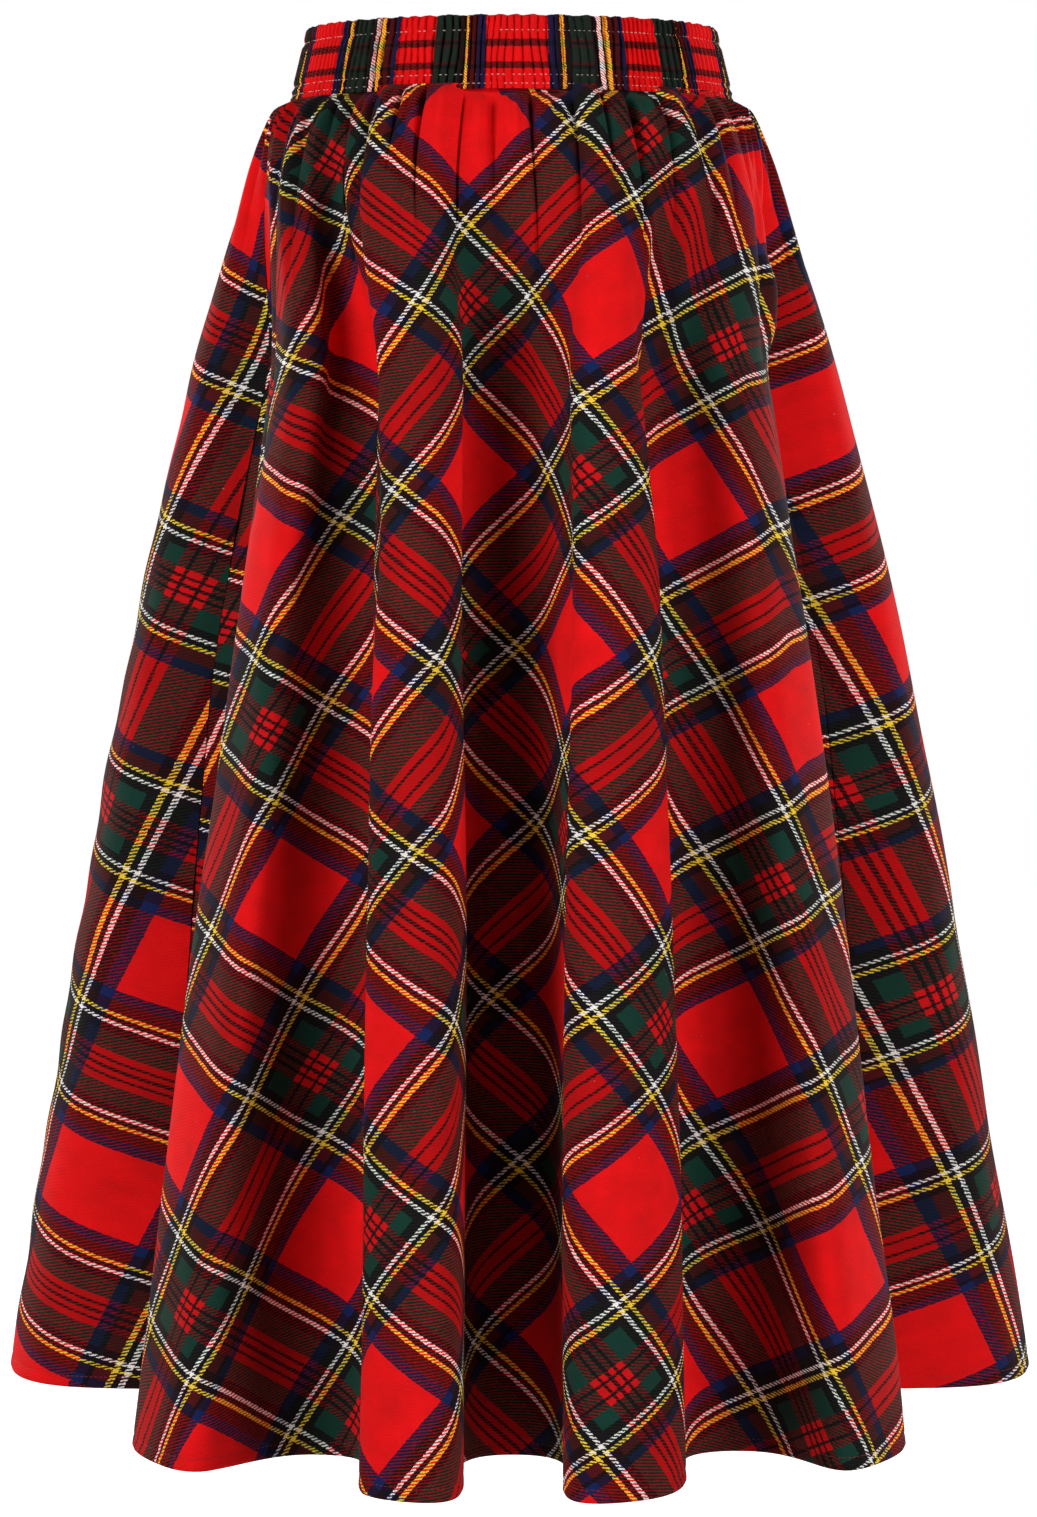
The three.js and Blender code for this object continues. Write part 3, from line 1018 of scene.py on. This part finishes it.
# %% Stripe groups
def stripe_group(name, bands, mirrored):
    """A group that gives the thread's colour at a place across the stripes. bands are ends and colours."""
    period = bands[-1][0] * (2 if mirrored else 1)
    inputs = [("NodeSocketFloat", "Across", 0.0), ("NodeSocketFloat", "Start", 0.0)]
    group, start, end = new_group(name, inputs, [("NodeSocketColor", "Color")])
    shifted = math_node(group, "SUBTRACT", start.outputs["Across"], start.outputs["Start"])
    turns = math_node(group, "DIVIDE", shifted, period * MM)
    share = math_node(group, "FRACT", turns)
    if mirrored:
        centred = math_node(group, "SUBTRACT", share, 0.5)
        folded = math_node(group, "ABSOLUTE", centred)
        share = math_node(group, "SUBTRACT", 1.0, math_node(group, "MULTIPLY", folded, 2.0))
    ramp = group.nodes.new("ShaderNodeValToRGB")
    ramp.color_ramp.interpolation = "CONSTANT"
    stops = ramp.color_ramp.elements
    begin = 0.0
    for number, (limit, color) in enumerate(bands):
        place = begin / bands[-1][0]
        stop = stops[number] if number < len(stops) else stops.new(place)
        stop.position = place
        stop.color = color
        begin = limit
    group.links.new(share, ramp.inputs["Fac"])
    group.links.new(ramp.outputs["Color"], end.inputs["Color"])
    print(name, "repeats every", round(period, 1), "mm with", len(bands), "stripes")
    return group


def ends_of(widths):
    total = 0.0
    made = []
    for width, color in widths:
        total += width
        made.append((total, color))
    return made


right_falling = stripe_group("stripes_falling_right", MIRRORED_ORDER, True)
left_falling = stripe_group("stripes_falling_left", ends_of(ONE_WAY_ORDER), False)
band_round = stripe_group("stripes_round_the_band", ends_of(BAND_ORDER), False)
band_down = stripe_group("stripes_down_the_band", ends_of(BAND_DOWN_ORDER), False)

# %% [markdown]
# In a 2/2 twill each thread goes over two and under two, one step further on in each row, which makes
# fine slanting ribs. Where two colours cross, the ribs show one and then the other. The group draws
# the ribs as a soft wave across the diagonal and picks warp or weft by it. Lead and Deepen widen the
# warp or the darker thread. Where two threads that are not pale cross, a share of the colour goes to the
# darker thread darkened by a red multiply, which is painted shade in the hatch; pale lines keep a clear
# hatch.

# %% The twill group
WANDER_SCALE = 700.0
WANDER = 0.9
RIB_SOFTNESS = 0.25
RIB_LEAK = 0.02
PALE_THREAD = 0.4
SAME_THREAD = 0.001
# Painted shade: a dark red multiply for crossings of two threads that are not pale.
PAINTED_HATCH_SHADE = (0.6, 0.14, 0.14, 1.0)


def twill_group():
    inputs = [
        ("NodeSocketVector", "Cloth", None),
        ("NodeSocketColor", "Warp", None),
        ("NodeSocketColor", "Weft", None),
        ("NodeSocketFloat", "Rib", 1.2 * MM),
        ("NodeSocketFloat", "Lead", 0.0),
        ("NodeSocketFloat", "Deepen", 0.0),
        # The last input is the share of painted shade at crossings of two threads that are not pale.
        ("NodeSocketFloat", "Hatch_shade", 0.6),
    ]
    outputs = [("NodeSocketColor", "Color"), ("NodeSocketFloat", "Height")]
    group, start, end = new_group("twill", inputs, outputs)
    warp = start.outputs["Warp"]
    weft = start.outputs["Weft"]
    split = group.nodes.new("ShaderNodeSeparateXYZ")
    group.links.new(start.outputs["Cloth"], split.inputs["Vector"])
    wander = noise(group, start.outputs["Cloth"], WANDER_SCALE)
    difference = math_node(group, "SUBTRACT", split.outputs["X"], split.outputs["Y"])
    turns = math_node(group, "DIVIDE", difference, start.outputs["Rib"])
    loose = math_node(group, "MULTIPLY_ADD", wander, WANDER, turns)
    wave = math_node(group, "SINE", math_node(group, "MULTIPLY", loose, 2 * math.pi))
    warp_light = brightness(group, warp)
    weft_light = brightness(group, weft)
    no_line = math_node(group, "LESS_THAN", math_node(group, "MAXIMUM", warp_light, weft_light), PALE_THREAD)
    warp_darker = math_node(group, "LESS_THAN", warp_light, weft_light)
    dark_side = math_node(group, "MULTIPLY_ADD", warp_darker, 2.0, -1.0)
    strength = math_node(group, "MULTIPLY_ADD", no_line, 0.5, 0.5)
    toward_dark = math_node(group, "MULTIPLY", dark_side, strength)
    deepen = math_node(group, "MULTIPLY", toward_dark, start.outputs["Deepen"])
    lead = math_node(group, "ADD", start.outputs["Lead"], deepen)
    soft = group.nodes.new("ShaderNodeMapRange")
    soft.interpolation_type = "SMOOTHSTEP"
    soft.inputs["From Min"].default_value = -RIB_SOFTNESS
    soft.inputs["From Max"].default_value = RIB_SOFTNESS
    soft.inputs["To Min"].default_value = RIB_LEAK
    soft.inputs["To Max"].default_value = 1 - RIB_LEAK
    group.links.new(math_node(group, "ADD", wave, lead), soft.inputs["Value"])
    woven = color_mix(group, "MIX", soft.outputs["Result"], weft, warp)
    # Painted shade: where two threads that are not pale cross, the darker one, multiplied by the dark red,
    # is mixed in.
    darker = color_mix(group, "MIX", warp_darker, weft, warp)
    hatch_shaded = color_mix(group, "MULTIPLY", 1.0, darker, PAINTED_HATCH_SHADE)
    same = math_node(group, "COMPARE", warp_light, weft_light, SAME_THREAD)
    crossing = math_node(group, "SUBTRACT", no_line, same)
    share = math_node(group, "MULTIPLY", crossing, start.outputs["Hatch_shade"])
    mixed = color_mix(group, "MIX", math_node(group, "MAXIMUM", share, 0.0), woven, hatch_shaded)
    group.links.new(mixed, end.inputs["Color"])
    group.links.new(wave, end.inputs["Height"])
    print("twill group has", len(group.nodes), "nodes")
    return group


twill = twill_group()

# %% [markdown]
# The cloth is lightly brushed, so short fibres stand on it. They cloud its colour a little, scatter a
# few pale flecks and roughen the surface. Real fibres would cost far too many faces, so the group mixes
# a fine and a slow noise instead, and uses both for the colour, the roughness and the height.

# %% The brushed nap group
FIBRE_SCALE = 1500.0
CLOUD_SCALE = 60.0
FLECK_SCALE = 420.0
FLECK_LIMIT = 0.815
FLECK_STRENGTH = 0.35
FLECK_COLOR = linear(190, 176, 170)
FUZZ_GAIN = 8.0
LEAST_ROUGHNESS = 0.8
CLOUD_ROUGHNESS = 0.14
CLOUD_HEIGHT = 1.5


def nap_group():
    inputs = [
        ("NodeSocketVector", "Cloth", None),
        ("NodeSocketColor", "Color", None),
        ("NodeSocketFloat", "Fuzz", 0.12),
    ]
    outputs = [("NodeSocketColor", "Color"), ("NodeSocketFloat", "Roughness"), ("NodeSocketFloat", "Height")]
    group, start, end = new_group("brushed_nap", inputs, outputs)
    place = start.outputs["Cloth"]
    fine = noise(group, place, FIBRE_SCALE)
    cloud = noise(group, place, CLOUD_SCALE, 3.0)
    both = math_node(group, "MULTIPLY", math_node(group, "ADD", fine, cloud), 0.5)
    centred = math_node(group, "SUBTRACT", both, 0.5)
    change = math_node(group, "MULTIPLY", centred, start.outputs["Fuzz"])
    gain = math_node(group, "MULTIPLY_ADD", change, FUZZ_GAIN, 1.0)
    grey = group.nodes.new("ShaderNodeCombineColor")
    for channel in ("Red", "Green", "Blue"):
        group.links.new(gain, grey.inputs[channel])
    shaded = color_mix(group, "MULTIPLY", 1.0, start.outputs["Color"], grey.outputs["Color"])
    fleck_noise = noise(group, place, FLECK_SCALE, 1.0)
    fleck_spots = math_node(group, "GREATER_THAN", fleck_noise, FLECK_LIMIT)
    fleck = math_node(group, "MULTIPLY", fleck_spots, FLECK_STRENGTH)
    flecked = color_mix(group, "MIX", fleck, shaded, FLECK_COLOR)
    roughness = math_node(group, "MULTIPLY_ADD", cloud, CLOUD_ROUGHNESS, LEAST_ROUGHNESS)
    height = math_node(group, "MULTIPLY_ADD", cloud, CLOUD_HEIGHT, fine)
    group.links.new(flecked, end.inputs["Color"])
    group.links.new(roughness, end.inputs["Roughness"])
    group.links.new(height, end.inputs["Height"])
    print("nap group has", len(group.nodes), "nodes")
    return group


nap = nap_group()

# %% [markdown]
# Each cloth's material reads the flat places, looks up both stripe lists, weaves them and brushes the
# result. The sheen of the short fibres is set on the shader itself, because it is the same all over.

# %% Material helpers
def new_material(name):
    material = bpy.data.materials.new(name)
    material.use_nodes = True
    return material, material.node_tree, material.node_tree.nodes["Principled BSDF"]


def cloth_place(tree):
    place = tree.nodes.new("ShaderNodeUVMap")
    place.uv_map = "cloth"
    return place.outputs["UV"]


def place_group(tree, group, **links):
    made = tree.nodes.new("ShaderNodeGroup")
    made.node_tree = group
    for title, value in links.items():
        if isinstance(value, (int, float, tuple)):
            made.inputs[title].default_value = value
        else:
            tree.links.new(value, made.inputs[title])
    return made.outputs


# %% Cloth materials
SPECULAR = 0.12
SHEEN = 0.05
SHEEN_ROUGHNESS = 0.55
SHEEN_TINT = linear(255, 150, 140)
YARN_SCALE = 380.0
YARN_DRIFT = 1.6 * MM
FUZZ = 0.14
NAP_HEIGHT = 0.6
BUMP_STRENGTH = 0.35
BUMP_DEPTH = 0.12 * MM


def cloth_material(name, warp_stripes, warp_start, weft_stripes, weft_start, weave):
    material, tree, shader = new_material(name)
    place = cloth_place(tree)
    split = tree.nodes.new("ShaderNodeSeparateXYZ")
    tree.links.new(place, split.inputs["Vector"])
    yarn = noise(tree, place, YARN_SCALE, 3.0)
    drift = math_node(tree, "MULTIPLY", math_node(tree, "SUBTRACT", yarn, 0.5), YARN_DRIFT)
    across = math_node(tree, "ADD", split.outputs["X"], drift)
    down = math_node(tree, "ADD", split.outputs["Y"], drift)
    warp = place_group(tree, warp_stripes, Across=across, Start=warp_start)
    weft = place_group(tree, weft_stripes, Across=down, Start=weft_start)
    woven = place_group(tree, twill, Cloth=place, Warp=warp["Color"], Weft=weft["Color"], **weave)
    brushed = place_group(tree, nap, Cloth=place, Color=woven["Color"], Fuzz=FUZZ)
    bump = tree.nodes.new("ShaderNodeBump")
    bump.inputs["Strength"].default_value = BUMP_STRENGTH
    bump.inputs["Distance"].default_value = BUMP_DEPTH
    height = math_node(tree, "MULTIPLY_ADD", brushed["Height"], NAP_HEIGHT, woven["Height"])
    tree.links.new(height, bump.inputs["Height"])
    tree.links.new(bump.outputs["Normal"], shader.inputs["Normal"])
    tree.links.new(brushed["Color"], shader.inputs["Base Color"])
    tree.links.new(brushed["Roughness"], shader.inputs["Roughness"])
    shader.inputs["Specular IOR Level"].default_value = SPECULAR
    shader.inputs["Sheen Weight"].default_value = SHEEN
    shader.inputs["Sheen Roughness"].default_value = SHEEN_ROUGHNESS
    shader.inputs["Sheen Tint"].default_value = SHEEN_TINT
    print(name, "has", len(tree.nodes), "nodes of its own")
    return material


RIGHT_START = 138 * MM
LEFT_START = 51 * MM
# Each weave's last value is its share of painted shade at crossings of two threads that are not pale.
BIAS_WEAVE = {"Rib": 2.7 * MM, "Lead": 0.0, "Deepen": 0.5, "Hatch_shade": 0.66}
bias_tartan = cloth_material("bias_tartan", right_falling, RIGHT_START, left_falling, LEFT_START, BIAS_WEAVE)
BAND_START = 20 * MM
BAND_WEAVE = {"Rib": 1.8 * MM, "Lead": 0.6, "Deepen": 0.8, "Hatch_shade": 0.6}
band_tartan = cloth_material("shirred_tartan", band_round, BAND_START, band_down, 0.0, BAND_WEAVE)

# %% [markdown]
# The pocket's bag is plain dark red cotton, so it uses the same twill and nap, finer and in two reds.
# Thread is smoother than cloth. A plain shader with a little noise in its colour is enough for it,
# because a stitch is only a few pixels long.

# %% Plain materials: pocketing and thread
POCKETING_RIB = 0.9 * MM
POCKETING_FUZZ = 0.08
POCKETING_THREADS = {"Warp": linear(112, 10, 18), "Weft": linear(84, 8, 14)}
THREAD_SHADE = 0.7
THREAD_ROUGHNESS = 0.55
THREAD_SCALE = 700.0


def pocketing():
    material, tree, shader = new_material("pocketing")
    place = cloth_place(tree)
    # The twill's default share of painted shade also darkens the crossings of the two reds.
    woven = place_group(tree, twill, Cloth=place, Rib=POCKETING_RIB, **POCKETING_THREADS)
    brushed = place_group(tree, nap, Cloth=place, Color=woven["Color"], Fuzz=POCKETING_FUZZ)
    tree.links.new(brushed["Color"], shader.inputs["Base Color"])
    tree.links.new(brushed["Roughness"], shader.inputs["Roughness"])
    return material


def thread(name, color):
    material, tree, shader = new_material(name)
    place = tree.nodes.new("ShaderNodeTexCoord")
    shade = noise(tree, place.outputs["Object"], THREAD_SCALE)
    shadow = tuple(THREAD_SHADE * channel for channel in color[:3]) + (1.0,)
    tree.links.new(color_mix(tree, "MIX", shade, shadow, color), shader.inputs["Base Color"])
    shader.inputs["Roughness"].default_value = THREAD_ROUGHNESS
    return material


finishes = [
    (front, bias_tartan),
    (back, bias_tartan),
    (band, band_tartan),
    (bag, pocketing()),
    (band_thread, thread("pale_thread", linear(214, 190, 184))),
    (hem_thread, thread("red_thread", linear(150, 12, 18))),
]
for piece, finish in finishes:
    piece.data.materials.append(finish)
    print(piece.name, "is made of", finish.name)

# %% [markdown]
# Every piece rides on the one body and stands for its solid, whose part is hidden. The size of a
# sheet's flat cut is printed: the panels are sectors of the half ring, whose areas are worked out here.

# %% What each piece stands for
AREA_PER_DEGREE = math.pi / 360 * ((WAIST_RADIUS + LENGTH) ** 2 - WAIST_RADIUS**2)
FRONT_AREA = 2 * FRONT_HALF_ANGLE * AREA_PER_DEGREE
BACK_AREA = (WHOLE_ANGLE - 2 * FRONT_HALF_ANGLE) * AREA_PER_DEGREE
ON_BAND = ["waistband_cloth"]


def declare(piece, node, slot_name, **sheet):
    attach(piece, "root")
    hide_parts(node)
    print(piece.name, "has a flat cut of", sheet["flat"], "m and is", sheet["held"])


for stitching, slot_name in ((hem_thread, "tartan"), (band_thread, "band_tartan")):
    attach(stitching, "root")
declare(
    front, "front_panel", "tartan",
    flat=(1.460, 0.931), held="gathered", rests_on=ON_BAND, area=FRONT_AREA, with_pieces=[hem_thread],
)
declare(
    back, "back_panel", "tartan",
    flat=(1.869, 0.987), held="gathered", rests_on=ON_BAND, area=BACK_AREA, with_pieces=[],
)
declare(band, "waistband", "band_tartan", flat=(1.02, 0.045), held="gathered", with_pieces=[band_thread])
declare(
    bag, "pocket_bag", "pocketing",
    flat=(0.11, 0.235), held="hung", rests_on=["front_cloth"], area=0.022,
)

# %% [markdown]
# The studio is plain: a pale floor well below the hem, white surroundings, and two large soft lights,
# one on each side of the front. They light the rounded fronts of the folds and leave the hollows
# between them dark. A weak light in front lifts the hollows a little, and two more keep the back clear.

# %% Floor
FLOOR_LEVEL = -1.3
FLOOR_REACH = 9.0


def floor():
    """A pale plane that glows white to the camera and vanishes when it is seen from below."""
    mesh = bpy.data.meshes.new("floor")
    near = -FLOOR_REACH
    far = FLOOR_REACH
    corners = [(near, near), (far, near), (far, far), (near, far)]
    mesh.from_pydata([(x, y, FLOOR_LEVEL) for x, y in corners], [], [(0, 1, 2, 3)])
    made = bpy.data.objects.new("floor", mesh)
    bpy.context.scene.collection.objects.link(made)
    material, tree, shader = new_material("floor_white")
    shader.inputs["Base Color"].default_value = (0.5, 0.5, 0.5, 1)
    shader.inputs["Roughness"].default_value = 0.9
    shader.inputs["Specular IOR Level"].default_value = 0.0
    shader.inputs["Emission Color"].default_value = (1, 1, 1, 1)
    rays = tree.nodes.new("ShaderNodeLightPath")
    tree.links.new(rays.outputs["Is Camera Ray"], shader.inputs["Emission Strength"])
    clear = tree.nodes.new("ShaderNodeBsdfTransparent")
    under = tree.nodes.new("ShaderNodeNewGeometry")
    choose = tree.nodes.new("ShaderNodeMixShader")
    tree.links.new(under.outputs["Backfacing"], choose.inputs["Fac"])
    tree.links.new(shader.outputs["BSDF"], choose.inputs[1])
    tree.links.new(clear.outputs["BSDF"], choose.inputs[2])
    tree.links.new(choose.outputs["Shader"], tree.nodes["Material Output"].inputs["Surface"])
    made.data.materials.append(material)
    print("the floor lies at", FLOOR_LEVEL, "m")


floor()

# %% White surroundings
ROOM_WHITE = 1.0
ROOM_LIGHT = 0.035


def background(tree, strength):
    made = tree.nodes.new("ShaderNodeBackground")
    made.inputs["Color"].default_value = (1, 1, 1, 1)
    made.inputs["Strength"].default_value = strength
    return made.outputs["Background"]


def white_room():
    """White to the camera, but only faintly lit, so that the lamps shape the folds."""
    world = bpy.data.worlds.new("white_room")
    bpy.context.scene.world = world
    world.use_nodes = True
    tree = world.node_tree
    tree.nodes.remove(tree.nodes["Background"])
    rays = tree.nodes.new("ShaderNodeLightPath")
    pick = tree.nodes.new("ShaderNodeMixShader")
    tree.links.new(rays.outputs["Is Camera Ray"], pick.inputs["Fac"])
    tree.links.new(background(tree, ROOM_LIGHT), pick.inputs[1])
    tree.links.new(background(tree, ROOM_WHITE), pick.inputs[2])
    tree.links.new(pick.outputs["Shader"], tree.nodes["World Output"].inputs["Surface"])
    print("the room lights the skirt with", ROOM_LIGHT)


white_room()

# %% Lights
AIM = Vector((0, 0, -0.45))
# Name, place, width and height in metres, and power in watts.
LIGHTS = [
    ("left_key", (-2.35, -1.9, 0.5), (1.7, 1.8), 78),
    ("right_key", (2.35, -1.9, 0.3), (1.7, 1.8), 68),
    ("front_fill", (0.1, -3.6, 0.9), (1.2, 1.0), 2.5),
    ("left_rear", (-2.2, 2.2, 0.6), (1.2, 1.6), 46),
    ("right_rear", (2.2, 2.2, 0.6), (1.2, 1.6), 46),
]


def soft_light(name, place, size, power):
    data = bpy.data.lights.new(name, "AREA")
    data.shape = "RECTANGLE"
    data.size, data.size_y = size
    data.energy = power
    made = bpy.data.objects.new(name, data)
    made.location = place
    made.rotation_euler = (AIM - Vector(place)).to_track_quat("-Z", "Y").to_euler()
    bpy.context.scene.collection.objects.link(made)
    print(name, power, "W")


for light in LIGHTS:
    soft_light(*light)

# %% [markdown]
# The camera stands three metres off, level with the upper part of the skirt, and looks down about three
# degrees, which the curves of the waist and the hem show. Its lens follows from the picture's scale at
# that distance, given as a focal length in pixels, and from a small trim that was set by comparing the
# outlines. The plain colour view keeps the reds as they are set above.

# %% Camera and colour
IMAGE_LONG_SIDE = 1517
FOCAL_PIXELS = 4666
FRAME_TRIM = 1.003
SENSOR = 36.0
CAMERA_PLACE = (0.004, -3.0, -0.302)
LOOK_DOWN = 3.09

camera_data = bpy.data.cameras.new("camera")
camera_data.sensor_width = SENSOR
camera_data.lens = FOCAL_PIXELS / IMAGE_LONG_SIDE * SENSOR * FRAME_TRIM
camera = bpy.data.objects.new("camera", camera_data)
camera.location = CAMERA_PLACE
camera.rotation_euler = (math.radians(90 - LOOK_DOWN), 0, 0)
bpy.context.scene.collection.objects.link(camera)
bpy.context.scene.camera = camera
bpy.context.scene.view_settings.view_transform = "Standard"
print("lens:", round(camera_data.lens, 1), "mm")
